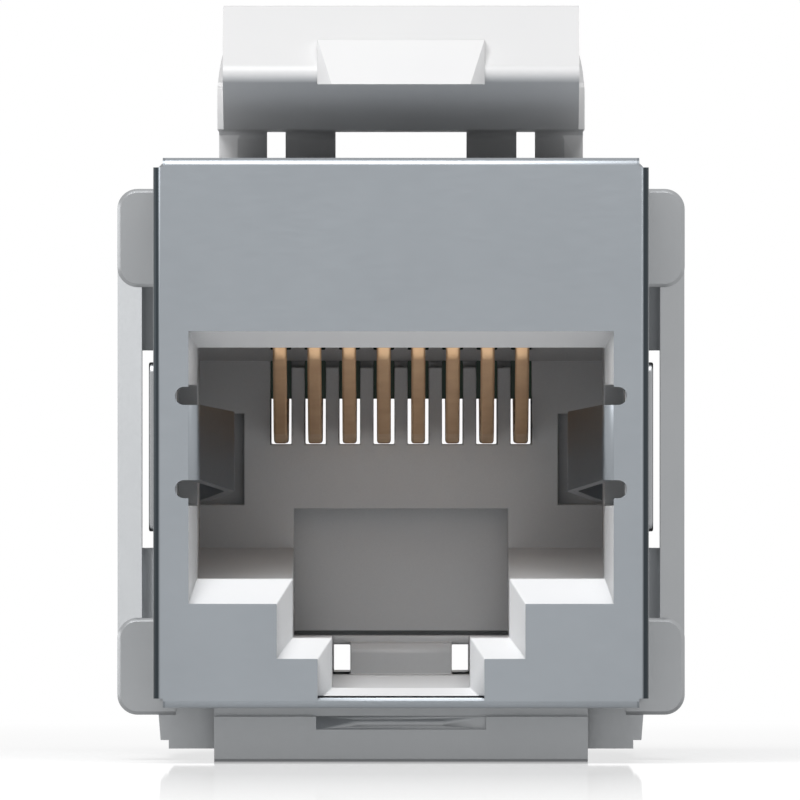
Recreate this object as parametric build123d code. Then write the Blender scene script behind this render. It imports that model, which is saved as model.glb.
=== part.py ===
from build123d import *
import os

# A shielded in-line keystone coupler: two 8-way modular ports back to back in a die-cast shell that
# snaps into a keystone opening. X is to the right, Y runs from the front face to the rear one and Z is
# up. The origin is the centre of the front face. All sizes are millimetres.

# Overall form
LENGTH = 35.0
BODY_WIDTH = 14.5
BODY_HEIGHT = 16.1
CORNER_RADIUS = 0.6
CASTING_WALL = 0.6
FIT = 0.05

# Stamped shields
SHEET = 0.3
SHIELD_DEPTH = 6.0
BEND_RADIUS = 0.22
CORNER_RELIEF = 0.28
TAB_CENTRE = -0.28
TAB_HEIGHT = 2.2
TAB_RELIEF = 0.53
TAB_RELIEF_REACH = 0.39
TAB_BACK = 3.0
TAB_END = 5.4
TAB_INWARD = 1.2
TAB_RETURN = 0.75
TAB_BEND = 0.3
TAB_DROP = 0.62
TAB_TOP_DROP = 0.38
TAB_POCKET_WALL = 0.35

# Plug port: levels are heights above the centre line
CAVITY_WIDTH = 11.94
CAVITY_TOP = 2.5
CAVITY_FLOOR = -4.27
NOTCH_WIDTH = 6.34
NOTCH_FLOOR = -6.0
SLOT_WIDTH = 4.04
SLOT_FLOOR = -7.46
CAVITY_DEPTH = 12.2
CEILING_SLOPE_START = 9.5
LEAD_DEPTH = 0.7
LEAD_TOP = 0.48
LEAD_SIDE = 0.25
LEAD_FLOOR = 0.73
LEAD_NOTCH_SIDE = 0.47
LEAD_NOTCH_FLOOR = 0.61
LEAD_SLOT_SIDE = 0.42
LEAD_SLOT_FLOOR = 0.38

# Moulded sockets
SOCKET_CORNER = 0.35
SOCKET_TOP = 6.2
BACK_WALL = 1.5
RAMP_START = 5.2
RAMP_RISE = 0.85
RECESS_TOP = -2.25
RECESS_DEPTH = 0.7
RECESS_SLIT = 0.12
TAB_ROOM_INNER = 4.65
TAB_ROOM_TOP = 0.56
TAB_ROOM_FLOOR = -2.13
STOP_WIDTH = 3.0
STOP_TOP = -6.2
STOP_FRONT = 11.6
STOP_RADIUS = 0.35
WINDOW_TOP = -6.27
WINDOW_FLOOR = -7.15

# Contacts and the comb that guides them
CONTACT_COUNT = 8
CONTACT_PITCH = 1.016
WIRE_WIDTH = 0.41
WIRE_THICKNESS = 0.3
WIRE_BEND = 0.4
WIRE_LEVEL = 3.05
WIRE_CORNER = 0.2
WIRE_KNEE = 9.5
WIRE_KNEE_LEVEL = 0.1
WIRE_TIP = 12.9
WIRE_TIP_LEVEL = -0.18
COMB_WIDTH = 0.62
COMB_TOP = 2.13
COMB_FLOOR = -0.35
COMB_SLIT = 0.2
CHANNEL_FRONT = 1.9
CHANNEL_TOP = 3.3

# Circuit board between the two ports
BOARD_WIDTH = 11.0
BOARD_THICKNESS = 1.6
BOARD_UNDERSIDE = 1.0
BOARD_SEAT = 0.55
BOARD_CORNER = 0.5
HOLE_RADIUS = 0.33
HOLE_SIDES = 8
TAIL_ROWS = 2
TAIL_PROUD = 0.4

# Keystone features
HOOK_FRONT = 6.4
HOOK_LENGTH = 1.6
HOOK_WIDTH = 11.0
HOOK_DROP = 1.63
HOOK_LEAD = 0.08
HOOK_NECK = 0.3
HOOK_NECK_SETBACK = 0.5
HOOK_RECESS_WIDTH = 5.0
HOOK_RECESS_TOP = 0.3
HOOK_RECESS_HEIGHT = 0.38
HOOK_RECESS_DEPTH = 0.35
HOOK_BEAD_LENGTH = 2.54
HOOK_BEAD_HEIGHT = 0.18
HOOK_BEAD_DEPTH = 0.2
PANEL_GROOVE = 1.9
FOOT_DROP = 1.28
FOOT_SETBACK = 0.15
FOOT_HALF_WIDTH = 7.18
FOOT_TAPER = 0.08
FOOT_STEP_WIDTH = 0.24
FOOT_STEP_HEIGHT = 0.25
EAR_REACH = 1.13
EAR_DEPTH = 3.5
EAR_RADIUS = 0.6
EAR_EDGE = 0.1
UPPER_EAR_FLOOR = 4.3
UPPER_EAR_TOP = 7.2
LOWER_EAR_FLOOR = -8.33
LOWER_EAR_TOP = -5.47

# Side straps of the front half and tongues of the rear half
STRAP_THICKNESS = 0.72
STRAP_SETBACK = 0.5
STRAP_SLOPE = 0.8
STRAP_WEB_SETBACK = 0.72
STRAP_HOLLOW_WIDTH = 0.3
STRAP_HOLLOW_DEPTH = 0.01
STRAP_WINDOW_TOP = 2.43
STRAP_WINDOW_FLOOR = -3.41
TONGUE_THICKNESS = 0.3
TONGUE_RECESS = 0.15
TONGUE_FRONT = 10.4
TONGUE_TOP_GAP = 0.35
TONGUE_FLOOR_GAP = 0.49
TONGUE_PAD_LENGTH = 2.5
LUG_FRONT = 15.0
LUG_LENGTH = 2.0
LUG_LAND = 0.5
LUG_HEIGHT = 1.6
LUG_CLEARANCE = 0.15

# Length of the rear casting between its shield and the split
REAR_CASTING = 7.0

# Latch
LATCH_WIDTH = 10.84
LATCH_HEAD_STEP = 0.18
LATCH_SIDE_CLEARANCE = 0.1
NOSE_FRONT = 4.5
NOSE_LEVEL = 10.47
NOSE_RADIUS = 0.3
CREST_FRONT = 7.3
CREST_BACK = 8.0
CREST_LEVEL = 12.58
CREST_RADIUS = 0.2
GROOVE_LEVEL = 10.2
ARM_UNDERSIDE = 8.95
CHIN_BACK = 9.4
THUMB_TOP = 11.9
THUMB_TO_PIVOT = 3.6
THUMB_END_TOP = 10.9
ARM_THICKNESS = 1.1
ARM_SHOULDER_TOP = 11.26
ARM_SHOULDER_FLOOR = 9.97
RIB_WIDTH = 4.92
RIB_TOP = 11.58
RIB_FLOOR = 10.24
RIB_PROUD = 0.35
RIB_TOP_PROUD = 0.75
RIB_SLOPE = 0.42
RIB_EDGE = 0.12
PIVOT_TO_SPLIT = 2.5
PIVOT_Z = 7.4
PIVOT_RADIUS = 0.6
LEG_THICKNESS = 0.6
INNER_LEG_INSET = (3.47, 1.98)
OUTER_LEG_INSET = (1.43, 0.62)
LEG_BEVEL = 0.4
CRADLE_MOUTH = 0.45
CRADLE_TOP = 7.87
LATCH_POCKET_FLOOR = 6.95
LATCH_POCKET_TO_PIVOT = 1.7
GRIP_GROOVES = 3
GRIP_PITCH = 1.3
GRIP_RADIUS = 0.3
GRIP_DEPTH = 0.15
THUMB_HOLLOW = 0.25
THUMB_RADIUS = 0.25
ARM_END_RADIUS = 0.8
INNER_RADIUS = 0.15

# Sizes that follow from the ones above
HALF_WIDTH = BODY_WIDTH / 2
HALF_HEIGHT = BODY_HEIGHT / 2
BORE_HALF_WIDTH = HALF_WIDTH - CASTING_WALL
BORE_FLOOR = -(HALF_HEIGHT - CASTING_WALL)
BORE_TOP = SOCKET_TOP + FIT
SHOULDER = HOOK_FRONT + HOOK_LENGTH + PANEL_GROOVE
FOOT_LEVEL = -(HALF_HEIGHT + FOOT_DROP)
HOOK_LEVEL = -(HALF_HEIGHT + HOOK_DROP)
BACK_OF_CAVITY = SHEET + CAVITY_DEPTH
BACK_OF_SOCKET = BACK_OF_CAVITY + BACK_WALL
CONTACT_XS = [(i - (CONTACT_COUNT - 1) / 2) * CONTACT_PITCH for i in range(CONTACT_COUNT)]
BOARD_BAY = LENGTH - 2 * BACK_OF_SOCKET
SPLIT = LENGTH - SHIELD_DEPTH - REAR_CASTING
PIVOT_Y = SPLIT - PIVOT_TO_SPLIT
THUMB_BACK = PIVOT_Y - THUMB_TO_PIVOT
LATCH_POCKET_BACK = PIVOT_Y - LATCH_POCKET_TO_PIVOT
INNER_LEG = [LATCH_WIDTH / 2 - inset for inset in INNER_LEG_INSET]
OUTER_LEG = [LATCH_WIDTH / 2 - inset for inset in OUTER_LEG_INSET]


def outline(*points):
    """Closed straight-sided face through the given points."""
    return make_face(Polyline(*points, close=True))


def along_y(face, front, back):
    """Solid from a face drawn in X and Z, pushed from front to back."""
    plane = Plane(origin=(0, front, 0), x_dir=(1, 0, 0), z_dir=(0, -1, 0))
    return extrude(plane * face, amount=front - back)


def along_x(face, left, right):
    """Solid from a face drawn in Y and Z, pushed from left to right."""
    plane = Plane(origin=(left, 0, 0), x_dir=(0, 1, 0), z_dir=(1, 0, 0))
    return extrude(plane * face, amount=right - left)


def along_z(face, low, high):
    """Solid from a face drawn in X and Y, pushed from low to high."""
    return extrude(Plane.XY.offset(low) * face, amount=high - low)


def block(x_range, y_range, z_range):
    """Box between three pairs of limits."""
    sizes = [pair[1] - pair[0] for pair in (x_range, y_range, z_range)]
    middle = [(pair[1] + pair[0]) / 2 for pair in (x_range, y_range, z_range)]
    return Pos(*middle) * Box(*sizes)


def both_sides(solid):
    """The solid and its mirror image about the middle plane."""
    return solid + mirror(solid, about=Plane.YZ)


def turned_to_rear(solid):
    """The same piece turned round to serve the rear port."""
    return Pos(0, LENGTH, 0) * Rot(0, 0, 180) * solid


def port_outline(top, side, floor, notch_side, notch_floor, slot_side, slot_floor):
    """Stepped plug outline, grown outwards by a margin on each of its edges."""
    half = CAVITY_WIDTH / 2 + side
    notch = NOTCH_WIDTH / 2 + notch_side
    slot = SLOT_WIDTH / 2 + slot_side
    right = [
        (half, CAVITY_TOP + top),
        (half, CAVITY_FLOOR - floor),
        (notch, CAVITY_FLOOR - floor),
        (notch, NOTCH_FLOOR - notch_floor),
        (slot, NOTCH_FLOOR - notch_floor),
        (slot, SLOT_FLOOR - slot_floor),
    ]
    left = [(-x, z) for x, z in reversed(right)]
    return outline(*right, *left)


def mouth_outline():
    """Outline of the opening in the sheet, where the lead-in starts."""
    return port_outline(LEAD_TOP, LEAD_SIDE, LEAD_FLOOR, LEAD_NOTCH_SIDE, LEAD_NOTCH_FLOOR,
                        LEAD_SLOT_SIDE, LEAD_SLOT_FLOOR)


def cavity_outline():
    """Outline of the plug cavity behind the lead-in."""
    return port_outline(0, 0, 0, 0, 0, 0, 0)


def spring_tab():
    """Right-hand finger of the sheet, bent back into the port, sloping down and out again at its end."""
    edge = CAVITY_WIDTH / 2 + LEAD_SIDE
    middle = SHEET / 2
    path = FilletPolyline(
        (edge + TAB_RELIEF_REACH, middle, TAB_CENTRE),
        (edge - middle, middle, TAB_CENTRE),
        (edge - TAB_INWARD, TAB_BACK, TAB_CENTRE),
        (edge - TAB_INWARD + TAB_RETURN, TAB_END, TAB_CENTRE),
        radius=TAB_BEND,
    )
    tall = TAB_HEIGHT + 2 * TAB_DROP
    section = Plane(origin=path @ 0, x_dir=(0, 0, 1), z_dir=path % 0) * Rectangle(tall, SHEET)
    top = TAB_CENTRE + TAB_HEIGHT / 2
    floor = TAB_CENTRE - TAB_HEIGHT / 2
    end = TAB_END + SHEET
    side = outline((-SHEET, top), (SHEET, top), (TAB_END, top - TAB_TOP_DROP), (end, top - TAB_TOP_DROP),
                   (end, floor - TAB_DROP), (TAB_END, floor - TAB_DROP), (SHEET, floor), (-SHEET, floor))
    return sweep(section, path=path) & along_x(side, 0, HALF_WIDTH)


def tab_relief(level):
    """Round-ended notch in the sheet beside a spring tab."""
    edge = CAVITY_WIDTH / 2 + LEAD_SIDE
    radius = TAB_RELIEF / 2
    centre_x = edge + TAB_RELIEF_REACH - radius
    straight = block((edge - radius, centre_x), (-SHEET, 2 * SHEET), (level - radius, level + radius))
    end = Pos(centre_x, SHEET / 2, level) * Rot(90, 0, 0) * Cylinder(radius, 3 * SHEET)
    return straight + end


def shield():
    """Stamped cap: a face with the port opening, and four walls bent back from it."""
    outer = block((-HALF_WIDTH, HALF_WIDTH), (0, SHIELD_DEPTH), (-HALF_HEIGHT, HALF_HEIGHT))
    outer = fillet(outer.faces().sort_by(Axis.Y)[0].edges(), BEND_RADIUS)
    inside_x = HALF_WIDTH - SHEET
    inside_z = HALF_HEIGHT - SHEET
    cap = outer - block((-inside_x, inside_x), (SHEET, SHIELD_DEPTH), (-inside_z, inside_z))
    cap -= along_y(mouth_outline(), -SHEET, 2 * SHEET)
    for x in (-HALF_WIDTH, HALF_WIDTH):
        for z in (-HALF_HEIGHT, HALF_HEIGHT):
            cap -= Pos(x, SHIELD_DEPTH / 2, z) * Box(2 * CORNER_RELIEF, 2 * SHIELD_DEPTH, 2 * CORNER_RELIEF)
    offset_to_relief = (TAB_HEIGHT + TAB_RELIEF) / 2
    for level in (TAB_CENTRE - offset_to_relief, TAB_CENTRE + offset_to_relief):
        cap -= both_sides(tab_relief(level))
    return cap + both_sides(spring_tab())


def socket_shell():
    """Outside of the moulded insert: a wide front in the shield and a narrower tail in the casting."""
    front_width = BODY_WIDTH - 2 * (SHEET + FIT)
    front_height = BODY_HEIGHT - 2 * (SHEET + FIT)
    front = along_y(RectangleRounded(front_width, front_height, SOCKET_CORNER), SHEET, SHIELD_DEPTH)
    tail_floor = BORE_FLOOR + FIT
    tail_width = 2 * (BORE_HALF_WIDTH - FIT)
    tail_face = Pos(0, (SOCKET_TOP + tail_floor) / 2) * RectangleRounded(
        tail_width, SOCKET_TOP - tail_floor, SOCKET_CORNER)
    return front + along_y(tail_face, SHIELD_DEPTH, BACK_OF_SOCKET)


def port_cavity():
    """Everything that the plug and its latch enter: lead-in, stepped cavity and latch slot."""
    mouth, throat = [Plane(origin=(0, y, 0), x_dir=(1, 0, 0), z_dir=(0, -1, 0))
                     for y in (SHEET, SHEET + LEAD_DEPTH)]
    lead = loft([mouth * mouth_outline(), throat * cavity_outline()], ruled=True)
    half = CAVITY_WIDTH / 2
    notch = NOTCH_WIDTH / 2
    slot = SLOT_WIDTH / 2
    start = SHEET + LEAD_DEPTH
    room = block((-half, half), (start, BACK_OF_CAVITY), (CAVITY_FLOOR, CAVITY_TOP))
    room += block((-notch, notch), (start, BACK_OF_CAVITY), (NOTCH_FLOOR, CAVITY_FLOOR))
    room += along_x(outline((start, NOTCH_FLOOR), (start, SLOT_FLOOR), (SHIELD_DEPTH / 2, SLOT_FLOOR),
                            (SHIELD_DEPTH, WINDOW_FLOOR), (BACK_OF_CAVITY, WINDOW_FLOOR),
                            (BACK_OF_CAVITY, NOTCH_FLOOR)), -slot, slot)
    return lead + room


def floor_ramps():
    """Sloped floor strips on both sides of the notch, rising towards the back."""
    ramp = outline((RAMP_START, CAVITY_FLOOR), (BACK_OF_CAVITY, CAVITY_FLOOR),
                   (BACK_OF_CAVITY, CAVITY_FLOOR + RAMP_RISE))
    return both_sides(along_x(ramp, NOTCH_WIDTH / 2, CAVITY_WIDTH / 2))


def ceiling_slope():
    """Wedge under the back of the ceiling that leads the plug's nose down to the comb."""
    wedge = outline((CEILING_SLOPE_START, CAVITY_TOP), (BACK_OF_CAVITY, COMB_TOP),
                    (BACK_OF_CAVITY, CAVITY_TOP))
    half = CAVITY_WIDTH / 2
    return along_x(wedge, -half, half)


def comb_cuts():
    """Guide slots for the contact tips, the channels above the ceiling and the slit between them."""
    cuts = []
    for x in CONTACT_XS:
        sides = (x - COMB_WIDTH / 2, x + COMB_WIDTH / 2)
        cuts.append(block(sides, (BACK_OF_CAVITY, BACK_OF_SOCKET), (COMB_FLOOR, COMB_TOP)))
        cuts.append(block(sides, (CHANNEL_FRONT, BACK_OF_SOCKET), (CAVITY_TOP - FIT, CHANNEL_TOP)))
    slit_half = CONTACT_XS[-1]
    cuts.append(block((-slit_half, slit_half), (BACK_OF_CAVITY, BACK_OF_CAVITY + BACK_WALL / 2),
                      (COMB_TOP - COMB_SLIT, COMB_TOP)))
    return cuts


def socket():
    """Moulded insert of one port."""
    body = socket_shell() - port_cavity()
    body += floor_ramps()
    body += ceiling_slope()
    notch = NOTCH_WIDTH / 2
    recess_back = BACK_OF_CAVITY + RECESS_DEPTH
    body -= block((-notch, notch), (BACK_OF_CAVITY, recess_back), (NOTCH_FLOOR, RECESS_TOP))
    body -= block((-notch, notch), (recess_back, recess_back + RECESS_DEPTH / 2),
                  (NOTCH_FLOOR, NOTCH_FLOOR + RECESS_SLIT))
    slot = SLOT_WIDTH / 2
    body -= block((-slot, slot), (BACK_OF_CAVITY, BACK_OF_SOCKET), (WINDOW_FLOOR, WINDOW_TOP))
    stop = block((-STOP_WIDTH / 2, STOP_WIDTH / 2), (STOP_FRONT, BACK_OF_SOCKET), (WINDOW_FLOOR, STOP_TOP))
    body += fillet(stop.edges().filter_by(Axis.X).group_by(Axis.Y)[0].sort_by(Axis.Z)[-1], STOP_RADIUS)
    tab_room = block((TAB_ROOM_INNER, CAVITY_WIDTH / 2), (BACK_OF_CAVITY, BACK_OF_CAVITY + BACK_WALL / 2),
                     (TAB_ROOM_FLOOR, TAB_ROOM_TOP))
    body -= both_sides(tab_room)
    pocket_top = TAB_CENTRE + TAB_HEIGHT / 2 + TAB_RELIEF + FIT
    pocket_reach = HALF_WIDTH - SHEET - FIT - TAB_POCKET_WALL
    pocket = block((0, pocket_reach), (SHEET, TAB_END + SHEET), (TAB_ROOM_FLOOR, pocket_top))
    body -= both_sides(pocket)
    for cut in comb_cuts():
        body -= cut
    board_half = BOARD_WIDTH / 2 + FIT
    body -= block((-board_half, board_half), (BACK_OF_SOCKET - BOARD_SEAT - FIT, BACK_OF_SOCKET),
                  (BOARD_UNDERSIDE, BOARD_UNDERSIDE + BOARD_THICKNESS))
    return body


def tail_row(number):
    """Place of a contact's solder tail: both ports' tails stand in rows spread evenly over the bay."""
    row_spacing = BOARD_BAY / (2 * TAIL_ROWS + 1)
    return BACK_OF_SOCKET + row_spacing * (1 + number % TAIL_ROWS)


def contact(number):
    """Sprung wire: solder tail, run above the ceiling, hairpin, slope into the port and guided tip."""
    x = CONTACT_XS[number]
    tail = tail_row(number)
    path = FilletPolyline(
        (x, tail, BOARD_UNDERSIDE - TAIL_PROUD),
        (x, tail, WIRE_LEVEL),
        (x, WIRE_CORNER, WIRE_LEVEL),
        (x, WIRE_KNEE, WIRE_KNEE_LEVEL),
        (x, WIRE_TIP, WIRE_TIP_LEVEL),
        radius=WIRE_BEND,
    )
    start = Plane(origin=path @ 0, x_dir=(1, 0, 0), z_dir=path % 0)
    return sweep(start * Rectangle(WIRE_WIDTH, WIRE_THICKNESS), path=path)


def circuit_board():
    """Small board that seats in both sockets, with a hole for each solder tail."""
    front = BACK_OF_SOCKET - BOARD_SEAT
    board_face = Pos(0, LENGTH / 2) * RectangleRounded(BOARD_WIDTH, LENGTH - 2 * front, BOARD_CORNER)
    board = along_z(board_face, BOARD_UNDERSIDE, BOARD_UNDERSIDE + BOARD_THICKNESS)
    for number, x in enumerate(CONTACT_XS):
        ring = Pos(x, tail_row(number)) * RegularPolygon(HOLE_RADIUS, HOLE_SIDES)
        hole = along_z(ring, BOARD_UNDERSIDE, BOARD_UNDERSIDE + BOARD_THICKNESS)
        board -= hole
        board -= turned_to_rear(hole)
    return board


def foot_outline():
    """Lower part of the castings' section, tapered and with a small step along its bottom edges."""
    right = [
        (FOOT_HALF_WIDTH, -HALF_HEIGHT + CORNER_RADIUS),
        (FOOT_HALF_WIDTH, -HALF_HEIGHT),
        (FOOT_HALF_WIDTH - FOOT_TAPER, FOOT_LEVEL + FOOT_STEP_HEIGHT),
        (FOOT_HALF_WIDTH - FOOT_TAPER - FOOT_STEP_WIDTH, FOOT_LEVEL + FOOT_STEP_HEIGHT),
        (FOOT_HALF_WIDTH - FOOT_TAPER - FOOT_STEP_WIDTH, FOOT_LEVEL),
    ]
    left = [(-x, z) for x, z in reversed(right)]
    return outline(*right, *left)


def bore(front, back):
    """Inside of a casting, where the sockets slide in."""
    face = Pos(0, (BORE_TOP + BORE_FLOOR) / 2) * RectangleRounded(
        2 * BORE_HALF_WIDTH, BORE_TOP - BORE_FLOOR, SOCKET_CORNER)
    return along_y(face, front, back)


def ear(floor, top):
    """Right-hand ear behind the panel, with rounded outer corners and a small bevel round its face."""
    outer = HALF_WIDTH + EAR_REACH
    inner = HALF_WIDTH - CORNER_RADIUS
    face = outline((inner, floor), (outer, floor), (outer, top), (inner, top))
    ear_block = along_y(face, SHOULDER, SHOULDER + EAR_DEPTH)
    corners = ear_block.edges().filter_by(Axis.Y).filter_by(lambda e: abs(e.center().X - outer) < FIT)
    ear_block = fillet(corners, EAR_RADIUS)
    front_edges = ear_block.faces().sort_by(Axis.Y)[0].edges().filter_by(
        lambda e: e.center().X > inner + FIT)
    return chamfer(front_edges, EAR_EDGE)


def strap():
    """Right-hand strap that joins the ears: a bar with an oblique front and a hollow web beside it."""
    outer = HALF_WIDTH + EAR_REACH
    inner = outer - STRAP_THICKNESS
    root = HALF_WIDTH - CORNER_RADIUS / 2
    front = SHOULDER + STRAP_SETBACK
    back = SHOULDER + EAR_DEPTH
    web = SHOULDER + STRAP_WEB_SETBACK
    edges = Curve() + [
        Line((root, back), (root, web)),
        ThreePointArc((root, web), (inner - STRAP_HOLLOW_WIDTH, web - STRAP_HOLLOW_DEPTH), (inner, front)),
        Line((inner, front), (outer, front + STRAP_SLOPE)),
        Line((outer, front + STRAP_SLOPE), (outer, back)),
        Line((outer, back), (root, back)),
    ]
    return along_z(make_face(edges), LOWER_EAR_TOP - EAR_RADIUS, UPPER_EAR_FLOOR + EAR_RADIUS)


def tongue_levels(margin):
    """Lower and upper limit of a tongue, or of the recess round it with a margin."""
    return (STRAP_WINDOW_FLOOR + TONGUE_FLOOR_GAP - margin, STRAP_WINDOW_TOP - TONGUE_TOP_GAP + margin)


def strap_window():
    """Slot between the strap and the body, which a tongue passes through."""
    inner = HALF_WIDTH - TONGUE_RECESS
    outer = HALF_WIDTH + EAR_REACH - STRAP_THICKNESS
    return block((inner, outer), (SHOULDER - FIT, SHOULDER + EAR_DEPTH + FIT),
                 (STRAP_WINDOW_FLOOR, STRAP_WINDOW_TOP))


def lug():
    """Ramped catch on the right side wall, square in front and sloped towards the rear."""
    wall = HALF_WIDTH - TONGUE_RECESS
    proud = wall + TONGUE_THICKNESS
    middle = sum(tongue_levels(0)) / 2
    face = outline((wall - FIT, LUG_FRONT), (proud, LUG_FRONT), (proud, LUG_FRONT + LUG_LAND),
                   (wall, LUG_FRONT + LUG_LENGTH), (wall - FIT, LUG_FRONT + LUG_LENGTH))
    return along_z(face, middle - LUG_HEIGHT / 2, middle + LUG_HEIGHT / 2)


def hook():
    """Fixed keystone hook under the neck, with a beaded recess on its front."""
    back = HOOK_FRONT + HOOK_LENGTH
    root = -HALF_HEIGHT + CASTING_WALL / 2
    neck = -HALF_HEIGHT - HOOK_NECK
    face = outline((HOOK_FRONT + HOOK_NECK_SETBACK, root), (HOOK_FRONT + HOOK_NECK_SETBACK, neck),
                   (HOOK_FRONT, neck), (HOOK_FRONT, HOOK_LEVEL + HOOK_LEAD),
                   (HOOK_FRONT + HOOK_LEAD, HOOK_LEVEL), (back, HOOK_LEVEL), (back, root))
    body = along_x(face, -HOOK_WIDTH / 2, HOOK_WIDTH / 2)
    recess_top = -HALF_HEIGHT - HOOK_RECESS_TOP
    recess_floor = recess_top - HOOK_RECESS_HEIGHT
    recess_back = HOOK_FRONT + HOOK_RECESS_DEPTH
    half = HOOK_RECESS_WIDTH / 2
    body -= block((-half, half), (HOOK_FRONT, recess_back), (recess_floor, recess_top))
    bead_face = Pos(0, (recess_top + recess_floor) / 2) * SlotOverall(HOOK_BEAD_LENGTH, HOOK_BEAD_HEIGHT)
    return body + along_y(bead_face, recess_back - HOOK_BEAD_DEPTH, recess_back)


def casting_section():
    """Outer section of the castings above the foot."""
    return RectangleRounded(BODY_WIDTH, BODY_HEIGHT, CORNER_RADIUS)


def latch_cradle_cuts():
    """Pocket under the latch arm and the trough that holds its pivot bar."""
    half = LATCH_WIDTH / 2 + LATCH_SIDE_CLEARANCE
    over = CREST_LEVEL
    pocket = block((-half, half), (SHIELD_DEPTH, LATCH_POCKET_BACK), (LATCH_POCKET_FLOOR, over))
    trough = Pos(0, PIVOT_Y, PIVOT_Z) * Rot(0, 90, 0) * Cylinder(PIVOT_RADIUS + FIT, 2 * half)
    mouth = block((-half, half), (PIVOT_Y - CRADLE_MOUTH, PIVOT_Y + CRADLE_MOUTH), (PIVOT_Z, over))
    above = block((-half, half), (LATCH_POCKET_BACK, SPLIT), (CRADLE_TOP, over))
    return [pocket, trough, mouth, above]


def front_housing():
    """Die-cast front half: neck, hook, shoulder with ears and straps, foot and latch cradle."""
    body = along_y(casting_section(), SHIELD_DEPTH, SPLIT)
    body += along_y(foot_outline(), SHOULDER + FOOT_SETBACK, SPLIT)
    for floor, top in ((UPPER_EAR_FLOOR, UPPER_EAR_TOP), (LOWER_EAR_FLOOR, LOWER_EAR_TOP)):
        body += both_sides(ear(floor, top))
    body += both_sides(strap())
    body += hook()
    body -= bore(SHIELD_DEPTH, SPLIT)
    low, high = tongue_levels(LUG_CLEARANCE)
    recess = block((HALF_WIDTH - TONGUE_RECESS, HALF_WIDTH + FIT), (SHOULDER, SPLIT), (low, high))
    for cut in latch_cradle_cuts() + [both_sides(recess), both_sides(strap_window())]:
        body -= cut
    return body + both_sides(lug())


def tongue():
    """Right-hand spring tongue of the rear half, with the window that the lug drops into."""
    inner = HALF_WIDTH - TONGUE_RECESS + FIT
    outer = inner + TONGUE_THICKNESS
    low, high = tongue_levels(0)
    strip = block((inner, outer), (TONGUE_FRONT, SPLIT + TONGUE_PAD_LENGTH), (low, high))
    strip = fillet(strip.edges().filter_by(Axis.X).group_by(Axis.Y)[0], TONGUE_THICKNESS)
    pad = outline((inner, SPLIT), (outer, SPLIT), (outer, SPLIT + TONGUE_PAD_LENGTH / 2),
                  (HALF_WIDTH, SPLIT + TONGUE_PAD_LENGTH), (inner, SPLIT + TONGUE_PAD_LENGTH))
    middle = (low + high) / 2
    half = LUG_HEIGHT / 2 + LUG_CLEARANCE
    window = block((inner - FIT, outer + FIT),
                   (LUG_FRONT - LUG_CLEARANCE, LUG_FRONT + LUG_LENGTH + LUG_CLEARANCE),
                   (middle - half, middle + half))
    tail = block((HALF_WIDTH, outer + FIT), (SPLIT, SPLIT + TONGUE_PAD_LENGTH), (low - FIT, high + FIT))
    return strip - window - tail + along_z(pad, low, high)


def rear_housing():
    """Die-cast rear half with the same section and the two tongues."""
    back = LENGTH - SHIELD_DEPTH
    body = along_y(casting_section(), SPLIT, back)
    body += along_y(foot_outline(), SPLIT, back)
    body -= bore(SPLIT, back)
    return body + both_sides(tongue())


def latch_profile():
    """Side view of the latch from its nose to the back of its legs."""
    leg_front = PIVOT_Y - LEG_THICKNESS / 2
    leg_back = PIVOT_Y + LEG_THICKNESS / 2
    arm_top = ARM_UNDERSIDE + ARM_THICKNESS
    thumb_middle = (SHOULDER + THUMB_BACK) / 2
    front = Polyline(
        (SHOULDER, THUMB_TOP), (SHOULDER, GROOVE_LEVEL), (CREST_BACK, GROOVE_LEVEL),
        (CREST_BACK, CREST_LEVEL), (CREST_FRONT, CREST_LEVEL), (NOSE_FRONT, NOSE_LEVEL),
        (CHIN_BACK, ARM_UNDERSIDE), (leg_front, ARM_UNDERSIDE), (leg_front, PIVOT_Z),
        (leg_back, PIVOT_Z), (leg_back, arm_top), (THUMB_BACK, arm_top), (THUMB_BACK, THUMB_END_TOP),
    )
    hollow = ThreePointArc((THUMB_BACK, THUMB_END_TOP),
                           (thumb_middle, (THUMB_TOP + THUMB_END_TOP) / 2 - THUMB_HOLLOW),
                           (SHOULDER, THUMB_TOP))
    face = make_face(Curve() + [front, hollow])

    def near(y, z):
        return face.vertices().sort_by_distance((y, z, 0))[0]

    face = fillet(near(NOSE_FRONT, NOSE_LEVEL), NOSE_RADIUS)
    face = fillet([near(CREST_FRONT, CREST_LEVEL), near(CREST_BACK, CREST_LEVEL)], CREST_RADIUS)
    face = fillet([near(SHOULDER, THUMB_TOP), near(THUMB_BACK, THUMB_END_TOP),
                   near(leg_front, ARM_UNDERSIDE)], THUMB_RADIUS)
    face = fillet(near(leg_back, arm_top), ARM_END_RADIUS)
    return fillet([near(CHIN_BACK, ARM_UNDERSIDE), near(CREST_BACK, GROOVE_LEVEL),
                   near(SHOULDER, GROOVE_LEVEL)], INNER_RADIUS)


def thumb_level(y):
    """Height of the hollow thumb rest at a place along its length."""
    share = (THUMB_BACK - y) / (THUMB_BACK - SHOULDER)
    straight = THUMB_END_TOP + share * (THUMB_TOP - THUMB_END_TOP)
    return straight - 4 * THUMB_HOLLOW * share * (1 - share)


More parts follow.
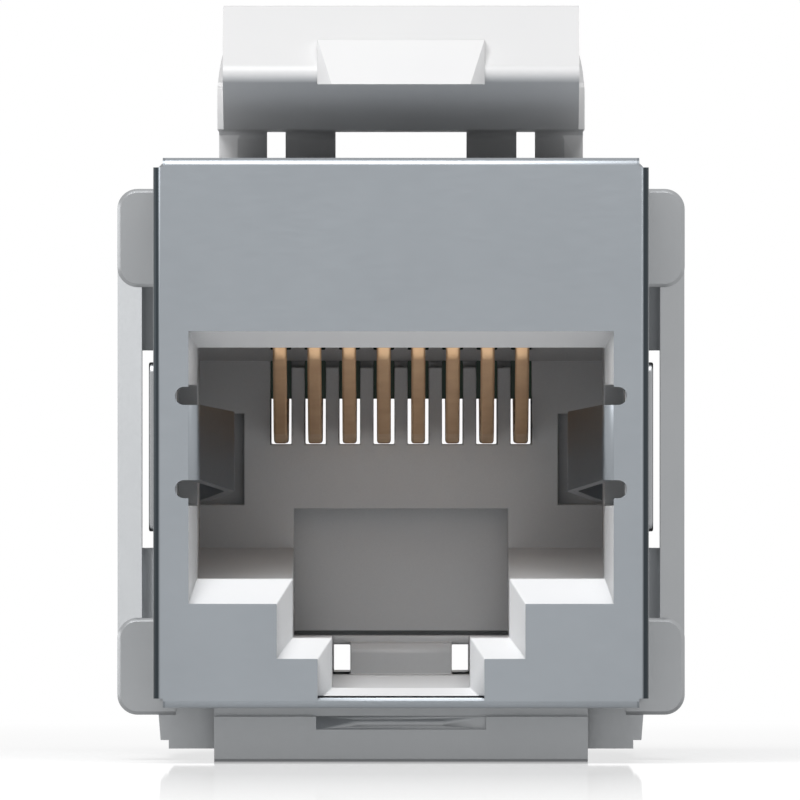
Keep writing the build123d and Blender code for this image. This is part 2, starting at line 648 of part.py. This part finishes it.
def latch_rib():
    """Raised rib in the middle of the nose, with bevelled corners that widen downwards."""
    rise = (CREST_LEVEL - NOSE_LEVEL) / (CREST_FRONT - NOSE_FRONT)
    slope_y = NOSE_FRONT + (RIB_TOP - NOSE_LEVEL) / rise
    upper_front = slope_y - RIB_TOP_PROUD
    lower_front = NOSE_FRONT - RIB_PROUD
    face = outline((slope_y + RIB_PROUD, RIB_TOP), (upper_front, RIB_TOP), (lower_front, RIB_FLOOR),
                   (NOSE_FRONT + 2 * RIB_PROUD, RIB_FLOOR))
    half = RIB_WIDTH / 2
    face = fillet(face.vertices().sort_by_distance((upper_front, RIB_TOP, 0))[0], RIB_EDGE)
    rib = along_x(face, -half, half)
    for side in (-1, 1):
        corner = Vector(side * half, upper_front, RIB_TOP)
        front = Vector(side * (half - RIB_SLOPE), lower_front, RIB_FLOOR)
        behind = Vector(side * half, lower_front + RIB_SLOPE, RIB_FLOOR)
        inwards = side * (corner - front).cross(behind - front)
        rib = split(rib, bisect_by=Plane(front, z_dir=inwards), keep=Keep.TOP)
    return rib


def latch():
    """Sprung latch: nose, panel groove, thumb rest and four legs on a pivot bar."""
    half = LATCH_WIDTH / 2
    body = along_x(latch_profile(), -half, half)
    step = LATCH_HEAD_STEP
    head = half - step
    over = CREST_LEVEL + step
    body -= both_sides(block((head, half + step), (0, CHIN_BACK), (0, over)))
    edge = [
        Line((half, ARM_SHOULDER_FLOOR), (half + step, ARM_SHOULDER_FLOOR)),
        Line((half + step, ARM_SHOULDER_FLOOR), (half + step, over)),
        Line((half + step, over), (head - step, over)),
        Line((head - step, over), (head, ARM_SHOULDER_TOP)),
        ThreePointArc((head, ARM_SHOULDER_TOP),
                      (half - step / 4, (ARM_SHOULDER_TOP + ARM_SHOULDER_FLOOR) / 2),
                      (half, ARM_SHOULDER_FLOOR)),
    ]
    body -= both_sides(along_y(make_face(Curve() + edge), CHIN_BACK, LENGTH))
    legs = (PIVOT_Z - PIVOT_RADIUS, ARM_UNDERSIDE)
    behind = (PIVOT_Y - LEG_THICKNESS, PIVOT_Y + PIVOT_RADIUS)
    body -= block((-INNER_LEG[0], INNER_LEG[0]), behind, legs)
    body -= both_sides(block((INNER_LEG[1], OUTER_LEG[0]), behind, legs))
    leg_front = PIVOT_Y - LEG_THICKNESS / 2
    bevel = outline((OUTER_LEG[1], leg_front - FIT), (half + FIT, leg_front - FIT),
                    (half + FIT, leg_front + LEG_BEVEL), (half, leg_front + LEG_BEVEL))
    body -= both_sides(along_z(bevel, PIVOT_Z, ARM_UNDERSIDE - FIT))
    for step in range(GRIP_GROOVES):
        y = THUMB_BACK - GRIP_PITCH * (step + 1)
        level = thumb_level(y) + GRIP_RADIUS - GRIP_DEPTH
        body -= Pos(0, y, level) * Rot(0, 90, 0) * Cylinder(GRIP_RADIUS, LATCH_WIDTH)
    bar = Pos(0, PIVOT_Y, PIVOT_Z) * Rot(0, 90, 0) * Cylinder(PIVOT_RADIUS, LATCH_WIDTH)
    return body + latch_rib() + bar


def write(name, solid):
    """Write one piece to its own file."""
    export_step(solid, os.path.join("parts", name + ".step"))


os.makedirs("parts", exist_ok=True)
write("front_shield", shield())
write("rear_shield", turned_to_rear(shield()))
write("front_socket", socket())
write("rear_socket", turned_to_rear(socket()))
write("front_housing", front_housing())
write("rear_housing", rear_housing())
write("latch", latch())
write("circuit_board", circuit_board())
for number in range(CONTACT_COUNT):
    write(f"front_contact_{number + 1}", contact(number))
    write(f"rear_contact_{number + 1}", turned_to_rear(contact(number)))
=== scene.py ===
# %% [markdown]
# A keystone coupler, dressed for its picture
#
# The object is a shielded in-line coupler for structured cabling: a modular port at each end, a
# metal body that snaps into a keystone opening, and a sprung latch on top. Its measured model is
# loaded as a fixed frame. This lesson gives every piece its real finish, softens the razor edges
# that a plain solid has, and lights it as a small product shot.

# %% Load the measured model
import math

import bpy
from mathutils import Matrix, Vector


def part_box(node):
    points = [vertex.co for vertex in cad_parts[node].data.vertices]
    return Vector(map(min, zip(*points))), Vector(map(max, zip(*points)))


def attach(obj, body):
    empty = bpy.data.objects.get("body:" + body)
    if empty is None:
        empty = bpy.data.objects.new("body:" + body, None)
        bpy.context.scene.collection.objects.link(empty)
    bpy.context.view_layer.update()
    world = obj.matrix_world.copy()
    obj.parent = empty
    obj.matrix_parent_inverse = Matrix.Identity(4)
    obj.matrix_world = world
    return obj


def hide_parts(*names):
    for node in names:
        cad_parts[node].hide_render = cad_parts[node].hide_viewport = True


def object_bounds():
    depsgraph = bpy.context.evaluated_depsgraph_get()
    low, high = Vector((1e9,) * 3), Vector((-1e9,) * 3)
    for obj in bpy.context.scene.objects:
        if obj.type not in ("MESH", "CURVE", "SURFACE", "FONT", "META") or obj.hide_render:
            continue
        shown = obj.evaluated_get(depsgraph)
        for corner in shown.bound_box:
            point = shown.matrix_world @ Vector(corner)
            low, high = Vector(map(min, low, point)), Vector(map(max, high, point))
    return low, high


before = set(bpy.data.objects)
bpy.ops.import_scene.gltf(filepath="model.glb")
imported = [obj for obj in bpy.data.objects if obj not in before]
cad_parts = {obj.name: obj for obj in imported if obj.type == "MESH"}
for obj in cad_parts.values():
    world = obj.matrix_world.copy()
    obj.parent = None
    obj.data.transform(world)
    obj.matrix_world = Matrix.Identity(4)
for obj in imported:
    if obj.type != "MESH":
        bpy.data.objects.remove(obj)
cad_bounds = [list(corner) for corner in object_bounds()]
MM = 0.001
low, high = cad_bounds
size_mm = [round((high[i] - low[i]) / MM, 2) for i in range(3)]
print("loaded", len(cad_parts), "pieces, overall size in mm", size_mm)

# %% [markdown]
# Colours on a screen are written as hex codes in sRGB, but the renderer counts in linear light. One
# function turns the one into the other, so that every colour below can be read as a designer reads
# it. A second small function adds a node, sets it and links it. Nodes could also be placed by hand
# in the editor, but a recipe in text is shorter to read and gives the same result every time.


# %% Small helpers
def linear(hex_code):
    """Linear RGBA colour of an sRGB hex code."""
    channels = [int(hex_code[i:i + 2], 16) / 255 for i in (1, 3, 5)]
    bent = [c / 12.92 if c <= 0.04045 else ((c + 0.055) / 1.055) ** 2.4 for c in channels]
    return (*bent, 1.0)


def add_node(tree, kind, sockets=None, **settings):
    """Add a node, set its own settings, and give sockets a value or another node's output."""
    node = tree.nodes.new(kind)
    for name, value in settings.items():
        setattr(node, name, value)
    for socket, value in (sockets or {}).items():
        if isinstance(value, bpy.types.NodeSocket):
            tree.links.new(value, node.inputs[socket])
        else:
            node.inputs[socket].default_value = value
    return node


def maths(tree, operation, first, second):
    """Output of a Math node on two numbers or outputs."""
    return add_node(tree, "ShaderNodeMath", {0: first, 1: second}, operation=operation).outputs[0]


def ramp(tree, value, start, end, **more):
    """Output that climbs from 0 to 1 while the value goes from start to end."""
    sockets = {"Value": value, "From Min": start, "From Max": end}
    sockets.update({name.replace("_", " "): number for name, number in more.items()})
    return add_node(tree, "ShaderNodeMapRange", sockets).outputs["Result"]


def new_material(name):
    """An empty node material: the material, its node tree and its output node."""
    material = bpy.data.materials.new(name)
    material.use_nodes = True
    tree = material.node_tree
    tree.nodes.clear()
    return material, tree, add_node(tree, "ShaderNodeOutputMaterial")


WHITE = linear("#FFFFFF")
print("a mid grey of #808080 is", round(linear("#808080")[0], 3), "in linear light")

# %% [markdown]
# The picture looks straight into the front port and hardly narrows with depth. An orthographic
# camera would do that too, but it crops the long side views. A camera one metre off with a very
# long lens gives nearly the same flat view and turns well to the other sides. Its frame covers
# 23.4 mm, and its middle lies just above the port's centre line.

# %% Camera
PICTURE_WIDTH_MM = 23.4
CAMERA_DISTANCE_MM = 1030
VIEW_CENTRE_X_MM, VIEW_CENTRE_Z_MM = -0.03, 0.965
SENSOR_MM = 10

camera_data = bpy.data.cameras.new("long_lens")
camera_data.sensor_width = SENSOR_MM
camera_data.lens = SENSOR_MM * CAMERA_DISTANCE_MM / PICTURE_WIDTH_MM
camera = bpy.data.objects.new("camera", camera_data)
camera.location = (VIEW_CENTRE_X_MM * MM, -CAMERA_DISTANCE_MM * MM, VIEW_CENTRE_Z_MM * MM)
camera.rotation_euler = (math.radians(90), 0, 0)
bpy.context.scene.collection.objects.link(camera)
bpy.context.scene.camera = camera
bpy.context.scene.view_settings.view_transform = "Standard"
print("lens", round(camera_data.lens), "mm at", CAMERA_DISTANCE_MM, "mm")

# %% [markdown]
# The studio is white. What the camera and the satin metal see of it is white too, while the soft
# light that it throws on the object is much weaker, so that faces turned to the camera stay mid
# grey as in the picture. Black flags round the object would do the same in a real studio. Here the
# Light Path node tells the kinds of ray apart, which takes no extra objects.

# %% Studio world
AMBIENT = 0.1
MIRRORED = 0.98
SEEN = 1.0

world = bpy.data.worlds.new("white_studio")
bpy.context.scene.world = world
world.use_nodes = True
sky = world.node_tree
sky.nodes.clear()
path = add_node(sky, "ShaderNodeLightPath")
soft, mirrored, seen = [
    add_node(sky, "ShaderNodeBackground", {"Color": WHITE, "Strength": strength}).outputs[0]
    for strength in (AMBIENT, MIRRORED, SEEN)
]
glossy_or_clear = maths(sky, "MAXIMUM", path.outputs["Is Glossy Ray"],
                        path.outputs["Is Transmission Ray"])
indirect = add_node(sky, "ShaderNodeMixShader", {0: glossy_or_clear, 1: soft, 2: mirrored})
studio = add_node(sky, "ShaderNodeMixShader",
                  {0: path.outputs["Is Camera Ray"], 1: indirect.outputs[0], 2: seen})
add_node(sky, "ShaderNodeOutputWorld", {"Surface": studio.outputs[0]})
print("world: ambient", AMBIENT, "mirrored", MIRRORED, "seen", SEEN)

# %% [markdown]
# One large soft lamp stands in front of the object and above it, a little to the left. It reaches
# the lead-in of the port and the slope of the latch, which are the palest faces of the picture, and
# leaves the undersides dark. A weak second lamp stands on the left, where only the oblique side
# strap mirrors it: that is why the left strap is paler than the right one. Point lamps would draw
# hard shadows and hot spots on the satin metal, so both are area lamps.


# %% Lamps
def soft_lamp(name, place_mm, aim_mm, size_mm, watts):
    """Square area lamp at a place, turned to look at a point."""
    data = bpy.data.lights.new(name, "AREA")
    data.shape = "SQUARE"
    data.size = size_mm * MM
    data.energy = watts
    lamp = bpy.data.objects.new(name, data)
    lamp.location = [value * MM for value in place_mm]
    direction = [aim_mm[i] - place_mm[i] for i in range(3)]
    horizontal = math.hypot(direction[0], direction[1])
    tilt = math.atan2(horizontal, -direction[2])
    turn = math.atan2(direction[1], direction[0]) - math.pi / 2
    lamp.rotation_euler = (tilt, 0, turn)
    bpy.context.scene.collection.objects.link(lamp)
    print(name, watts, "W")


soft_lamp("key_softbox", place_mm=(-32, -168, 192), aim_mm=(0, 5, 0), size_mm=230, watts=0.84)
soft_lamp("left_strip", place_mm=(-210, 34, 10), aim_mm=(-8, 11, 0), size_mm=110, watts=0.05)

# %% [markdown]
# The floor is a plain white sheet that the coupler rests on, at the level of the hook. The camera
# looks along it, so it is drawn as a thin band below the hook. A curved studio sweep would serve as
# well, but from this low only a flat sheet is seen, so a large flat disc is enough.

# %% Floor sheet
FLOOR_RADIUS_MM = 900
FLOOR_CORNERS = 96
floor_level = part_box("front_housing")[0][2]

bpy.ops.mesh.primitive_circle_add(vertices=FLOOR_CORNERS, radius=FLOOR_RADIUS_MM * MM,
                                  fill_type="NGON", location=(0, 0, floor_level))
floor = bpy.context.object
floor.name = "floor"
bpy.ops.object.transform_apply(location=True, rotation=True, scale=True)
print("floor at", round(floor_level / MM, 2), "mm")

# %% [markdown]
# The sheet is coated white paper: matt below, with a thin gloss that mirrors the foot at a flat
# angle, as the Fresnel node tells. Near the object it takes the shadow. Farther out it fades to the
# white of the studio by the distance from the middle, so that no edge of the sheet shows.

# %% Floor finish
FLOOR_HEX = "#C8C8C8"
FLOOR_SHADED_RADIUS_MM = 30
FLOOR_WHITE_RADIUS_MM = 130
FLOOR_LIFT = 0.3
FLOOR_COAT = 0.46
FLOOR_COAT_ROUGHNESS = 0.02
FLOOR_COAT_IOR = 1.5

floor_paper, tree, out = new_material("white_coated_paper")
place = add_node(tree, "ShaderNodeTexCoord")
reach = add_node(tree, "ShaderNodeVectorMath", {0: place.outputs["Object"]}, operation="LENGTH")
fade = ramp(tree, reach.outputs["Value"], FLOOR_SHADED_RADIUS_MM * MM, FLOOR_WHITE_RADIUS_MM * MM)
ray = add_node(tree, "ShaderNodeLightPath")
looked_at = maths(tree, "MAXIMUM", ray.outputs["Is Camera Ray"], ray.outputs["Is Glossy Ray"])
matt = add_node(tree, "ShaderNodeBsdfDiffuse", {"Color": linear(FLOOR_HEX)})
coat = add_node(tree, "ShaderNodeBsdfAnisotropic",
                {"Color": WHITE, "Roughness": FLOOR_COAT_ROUGHNESS})
glance = add_node(tree, "ShaderNodeFresnel", {"IOR": FLOOR_COAT_IOR})
paper = add_node(tree, "ShaderNodeMixShader", {
    0: maths(tree, "MULTIPLY", glance.outputs[0], FLOOR_COAT),
    1: matt.outputs[0], 2: coat.outputs[0]})
lift = add_node(tree, "ShaderNodeEmission", {
    "Color": WHITE, "Strength": maths(tree, "MULTIPLY", looked_at, FLOOR_LIFT)})
lit_paper = add_node(tree, "ShaderNodeAddShader", {0: paper.outputs[0], 1: lift.outputs[0]})
studio_white = add_node(tree, "ShaderNodeEmission", {"Color": WHITE, "Strength": SEEN})
mixed = add_node(tree, "ShaderNodeMixShader", {
    0: maths(tree, "MULTIPLY", fade, looked_at),
    1: lit_paper.outputs[0], 2: studio_white.outputs[0]})
tree.links.new(mixed.outputs[0], out.inputs["Surface"])
floor.data.materials.append(floor_paper)
print("floor white from", FLOOR_WHITE_RADIUS_MM, "mm outwards")

# %% [markdown]
# No real surface has one even colour. Plating and mouldings both drift slowly between two close
# tones, and both have a fine skin that lifts and roughens them. Painted or scanned pictures could
# show that, but noise worked out from the place on the piece needs no unwrapping and has a true
# size in millimetres. Two functions make the drift and the skin for every finish below.

# %% Drift and skin
MIX_FACTOR, MIX_FIRST, MIX_SECOND, MIX_COLOUR = 0, 6, 7, 2


def per_mm(feature_mm):
    """Texture scale that makes a pattern's features this many millimetres wide."""
    return 1 / (feature_mm * MM)


def mix_colours(tree, factor, first, second):
    """Output that goes from the first colour to the second as the factor goes from 0 to 1."""
    sockets = {MIX_FACTOR: factor, MIX_FIRST: first, MIX_SECOND: second}
    return add_node(tree, "ShaderNodeMix", sockets, data_type="RGBA").outputs[MIX_COLOUR]


def noise(tree, vector, feature_mm, detail):
    """Output of a noise with features of this size."""
    sockets = {"Vector": vector, "Scale": per_mm(feature_mm), "Detail": detail}
    return add_node(tree, "ShaderNodeTexNoise", sockets).outputs["Fac"]


def skin_of(tree, height, height_mm, strength, roughness, spread):
    """Sockets for a shader: a roughness that varies by the spread, and a fine relief."""
    rough = add_node(tree, "ShaderNodeMapRange", {
        "Value": height, "To Min": roughness - spread, "To Max": roughness + spread})
    relief = add_node(tree, "ShaderNodeBump", {
        "Height": height, "Strength": strength, "Distance": height_mm * MM})
    return {"Roughness": rough.outputs["Result"], "Normal": relief.outputs["Normal"]}


print("features of 1 mm need a texture scale of", per_mm(1))

# %% [markdown]
# Along the upright bends of the plated sheet a darker colour is painted in. It is a painted dark
# reflection, and it draws the dark outline of the shield's face. On the contacts the bends that
# face up are painted darker as painted shade, where a lamp would otherwise light them. A mask finds
# such
# places: the surface there is turned partly, but not wholly, towards one axis, and lies far enough
# out along it. That follows the shape by itself, where a painted mask would have to be made again
# for each piece.

# %% Bends with painted shade
BEND_BEGINS = (0.12, 0.35)
BEND_ENDS = (0.97, 0.995)


def on_bend(tree, place, axis, from_mm, side):
    """Output that is 1 on a bend towards an axis, this far out along it or farther.

    The side is ABSOLUTE for both ways along the axis and MAXIMUM for its positive way alone."""
    facing = add_node(tree, "ShaderNodeNewGeometry")
    normal = add_node(tree, "ShaderNodeSeparateXYZ", {0: facing.outputs["Normal"]})
    turned = maths(tree, side, normal.outputs[axis], 0.0)
    begins = ramp(tree, turned, *BEND_BEGINS)
    ends = ramp(tree, turned, *BEND_ENDS, To_Min=1.0, To_Max=0.0)
    spot = add_node(tree, "ShaderNodeSeparateXYZ", {0: place.outputs["Object"]})
    out_by = maths(tree, "ABSOLUTE", spot.outputs[axis], 0.0)
    outside = maths(tree, "GREATER_THAN", out_by, from_mm * MM)
    return maths(tree, "MULTIPLY", maths(tree, "MULTIPLY", begins, ends), outside)


print("bends are masked between", BEND_BEGINS[0], "and", BEND_ENDS[1], "of a full turn")

# %% [markdown]
# The shields are cold-rolled steel sheet with a satin nickel plate. Plating keeps the fine grain
# that the rollers left along the strip, so the reflections are smeared a little and never quite
# even. The castings have the same plate on zinc, whose grain runs no special way. The contacts are
# spring bronze with a flash of gold. Each is a fully metallic surface, whose base colour is what it
# shows when it mirrors a white studio.

# %% Metals
PATCH_DETAIL = 3.0
GRAIN_DETAIL = 2.0
GRAIN_STRENGTH = 0.6
METAL_ROUGHNESS_SPREAD = 0.05


def metal(name, light_hex, dark_hex, roughness, patch_mm, grain_mm, grain_stretch,
          grain_height_mm, bend_shade_hex=None, bend=None):
    """Plated metal: slow colour patches, a grain in roughness and relief, and painted shade on
    bends.
    """
    material, tree, out = new_material(name)
    place = add_node(tree, "ShaderNodeTexCoord")
    patches = noise(tree, place.outputs["Object"], patch_mm, PATCH_DETAIL)
    colour = mix_colours(tree, patches, linear(dark_hex), linear(light_hex))
    if bend:
        colour = mix_colours(tree, on_bend(tree, place, *bend), colour, linear(bend_shade_hex))
    stretched = add_node(tree, "ShaderNodeMapping", {
        "Vector": place.outputs["Object"], "Scale": grain_stretch})
    grain = noise(tree, stretched.outputs["Vector"], grain_mm, GRAIN_DETAIL)
    skin = skin_of(tree, grain, grain_height_mm, GRAIN_STRENGTH, roughness,
                   METAL_ROUGHNESS_SPREAD)
    shader = add_node(tree, "ShaderNodeBsdfPrincipled", {
        "Metallic": 1.0, "Base Color": colour, **skin})
    tree.links.new(shader.outputs[0], out.inputs["Surface"])
    print("made", name)
    return material


# The bend colour of the sheet is a painted dark reflection along its upright bends.
plated_sheet = metal(
    "satin_nickel_plated_sheet", light_hex="#979CA1", dark_hex="#90959A", roughness=0.33,
    patch_mm=3.0, grain_mm=0.12, grain_stretch=(0.15, 1, 1), grain_height_mm=0.0006,
    bend_shade_hex="#3A4044", bend=("X", 6.9, "ABSOLUTE"))
zinc_casting = metal(
    "satin_nickel_plated_zinc", light_hex="#A5A7A9", dark_hex="#9EA0A2", roughness=0.32,
    patch_mm=2.0, grain_mm=0.1, grain_stretch=(1, 1, 1), grain_height_mm=0.0008)
# The bend colour of the contacts is painted shade on the bends that face up.
contact_metal = metal(
    "gold_flashed_spring_bronze", light_hex="#F2D0A8", dark_hex="#D8AE86", roughness=0.5,
    patch_mm=0.8, grain_mm=0.08, grain_stretch=(1, 0.2, 0.2), grain_height_mm=0.0005,
    bend_shade_hex="#6A4C36", bend=("Z", 0.0, "MAXIMUM"))

# %% [markdown]
# Deep in a moulded port little light comes back out, so a darker tone is painted there as shade.
# That could be painted by hand, but an Ambient Occlusion node measures how far each spot is closed
# in and does it for both ports alike. Faces that look up are left out of the painted shade, since
# light from above falls on them.

# %% Painted shade in deep places
DEEP_REACH_MM = 5.0
DEEP_SAMPLES = 8
OPENNESS = (0.1, 0.75)
LIT_FROM_ABOVE_TILT = (0.3, 0.8)


def with_painted_deep_shade(tree, colour, deep_shade_hex):
    """Output of the colour with a darker tone painted as shade where the surface is closed in."""
    cover = add_node(tree, "ShaderNodeAmbientOcclusion", {"Distance": DEEP_REACH_MM * MM},
                     samples=DEEP_SAMPLES)
    facing = add_node(tree, "ShaderNodeNewGeometry")
    normal = add_node(tree, "ShaderNodeSeparateXYZ", {0: facing.outputs["Normal"]})
    is_open = ramp(tree, cover.outputs["AO"], *OPENNESS)
    lit_from_above = ramp(tree, normal.outputs["Z"], *LIT_FROM_ABOVE_TILT)
    unshaded = maths(tree, "MAXIMUM", is_open, lit_from_above)
    return mix_colours(tree, unshaded, linear(deep_shade_hex), colour)


# The printed distance is how far the painted shade looks for surfaces that close a spot in.
print("dust is measured over", DEEP_REACH_MM, "mm")

# %% [markdown]
# The sockets are moulded in light grey PBT, the latch in the tougher polycarbonate. Both leave the
# tool with a fine spark-eroded skin: nearly smooth, with a soft broad sheen. Their colour drifts by
# a shade where the melt flowed. A plain plastic shader does the rest, since neither lets light
# through in walls this thick.

# %% Mouldings
FLOW_MM = 4.0
FLOW_DETAIL = 2.0
SKIN_DETAIL = 3.0
SKIN_STRENGTH = 0.5
SKIN_ROUGHNESS_SPREAD = 0.04
PLASTIC_IOR = 1.5


def moulded(name, light_hex, dark_hex, roughness, skin_mm, skin_height_mm, deep_shade_hex=None):
    """Moulded plastic: a faint drift of colour, a fine skin, and painted shade in deep places if
    asked.
    """
    material, tree, out = new_material(name)
    place = add_node(tree, "ShaderNodeTexCoord")
    flow = noise(tree, place.outputs["Object"], FLOW_MM, FLOW_DETAIL)
    colour = mix_colours(tree, flow, linear(dark_hex), linear(light_hex))
    if deep_shade_hex:
        colour = with_painted_deep_shade(tree, colour, deep_shade_hex)
    eroded = noise(tree, place.outputs["Object"], skin_mm, SKIN_DETAIL)
    skin = skin_of(tree, eroded, skin_height_mm, SKIN_STRENGTH, roughness,
                   SKIN_ROUGHNESS_SPREAD)
    shader = add_node(tree, "ShaderNodeBsdfPrincipled", {
        "IOR": PLASTIC_IOR, "Base Color": colour, **skin})
    tree.links.new(shader.outputs[0], out.inputs["Surface"])
    print("made", name)
    return material


# The deep tone of the sockets is painted shade in their closed-in places.
socket_plastic = moulded(
    "light_grey_pbt", light_hex="#E4E5E6", dark_hex="#DEDFE1", roughness=0.42, skin_mm=0.12,
    skin_height_mm=0.001, deep_shade_hex="#A2A4A6")
latch_plastic = moulded(
    "pale_grey_polycarbonate", light_hex="#DEDEDE", dark_hex="#D8D8D9", roughness=0.38,
    skin_mm=0.12, skin_height_mm=0.001)

# %% [markdown]
# The circuit board hides in the middle of the coupler and shows, if at all, only through the slots
# of the comb: glass laminate under a green lacquer that is thin and glossy. The recipe for moulded
# plastic serves it too, with greener tones and less roughness.

# %% Board lacquer
board_lacquer = moulded(
    "green_lacquered_laminate", light_hex="#1F5234", dark_hex="#184229", roughness=0.3,
    skin_mm=0.2, skin_height_mm=0.002)

# %% [markdown]
# A plain solid has edges of no width, and real ones catch the light: a stamped edge has a small
# roll, a moulding the radius of its tool. A shader can fake that, but only in the picture. So each
# piece is copied, its loose triangles are merged and gathered into whole faces, and a narrow bevel
# runs along every edge that turns by more than 25 degrees. The bevel is clamped, so it is never
# wider than a piece's shortest edges allow, because a wider one would tear faces. The front
# casting, the shields and the latch have very short edges, so there it is only 0.002 mm wide and
# the edges look crisp. Weighted normals then keep the large faces flat to the eye.

# %% Softened copies
MERGE_MM = 0.0005
FLAT_ANGLE = math.radians(0.5)
EDGE_ANGLE = math.radians(25)
SMOOTH_ANGLE = math.radians(42)
EDGE_SEGMENTS = 2
FLAT_FACE_WEIGHT = 100


def copy_of(node_name):
    """Copy of a measured piece, selected, with its triangles merged into whole faces."""
    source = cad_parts[node_name]
    piece = bpy.data.objects.new(node_name + "_soft", source.data.copy())
    bpy.context.scene.collection.objects.link(piece)
    bpy.ops.object.select_all(action="DESELECT")
    piece.select_set(True)
    bpy.context.view_layer.objects.active = piece
    bpy.ops.object.mode_set(mode="EDIT")
    bpy.ops.mesh.select_all(action="SELECT")
    bpy.ops.mesh.remove_doubles(threshold=MERGE_MM * MM)
    bpy.ops.mesh.dissolve_limited(angle_limit=FLAT_ANGLE)
    bpy.ops.object.mode_set(mode="OBJECT")
    return piece


def softened(node_name, edge_mm, material, body):
    """Copy of a measured piece with narrow rounded edges, which then stands for that piece."""
    piece = copy_of(node_name)
    bevel = piece.modifiers.new("rolled edge", "BEVEL")
    bevel.width = edge_mm * MM
    bevel.segments = EDGE_SEGMENTS
    bevel.limit_method = "ANGLE"
    bevel.angle_limit = EDGE_ANGLE
    bevel.use_clamp_overlap = True
    bpy.ops.object.modifier_apply(modifier=bevel.name)
    bpy.ops.object.shade_smooth_by_angle(angle=SMOOTH_ANGLE)
    flatten = piece.modifiers.new("flat faces stay flat", "WEIGHTED_NORMAL")
    flatten.weight = FLAT_FACE_WEIGHT
    flatten.keep_sharp = True
    bpy.ops.object.modifier_apply(modifier=flatten.name)
    piece.data.materials.clear()
    piece.data.materials.append(material)
    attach(piece, body)
    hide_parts(node_name)
    print(piece.name, len(piece.data.polygons), "faces")


print("edges of more than", round(math.degrees(EDGE_ANGLE)), "degrees are softened")

# %% [markdown]
# The table lists each piece's finish, its slot and the width of its edges; each piece gets the
# finish and the edge width: a wire is rounded most, sheet least. Everything hangs from the
# coupler's body but the latch, which has a body of its own, as the real latch turns about its pivot
# bar. The board is hidden, so it stays the measured piece itself and only takes its lacquer.

# %% Finishes on the pieces
SHEET_EDGE_MM = 0.03
CAST_EDGE_MM = 0.05
MOULDED_EDGE_MM = 0.06
WIRE_EDGE_MM = 0.08

sheet = (plated_sheet, "shield_sheet", SHEET_EDGE_MM)
casting = (zinc_casting, "die_cast_zinc", CAST_EDGE_MM)
socket = (socket_plastic, "socket_plastic", MOULDED_EDGE_MM)
FINISHES = {
    "front_shield": sheet, "rear_shield": sheet,
    "front_housing": casting, "rear_housing": casting,
    "front_socket": socket, "rear_socket": socket,
    "latch": (latch_plastic, "latch_plastic", MOULDED_EDGE_MM),
}
WIRE_FINISH = (contact_metal, "contact_bronze", WIRE_EDGE_MM)
BOARD = "circuit_board"


def dress(node_name, material):
    """Give a measured piece its finish."""
    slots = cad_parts[node_name].data.materials
    slots.clear()
    slots.append(material)


for node_name in list(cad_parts):
    if node_name == BOARD:
        dress(node_name, board_lacquer)
        continue
    material, slot, edge_mm = FINISHES.get(node_name, WIRE_FINISH)
    dress(node_name, material)
    softened(node_name, edge_mm, material, "latch" if node_name == "latch" else "coupler")
print("dressed", len(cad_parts), "pieces")

# %% [markdown]
# Last, the scene is brought up to date. Dressing changes no dimension.

# %% The end
bpy.context.view_layer.update()
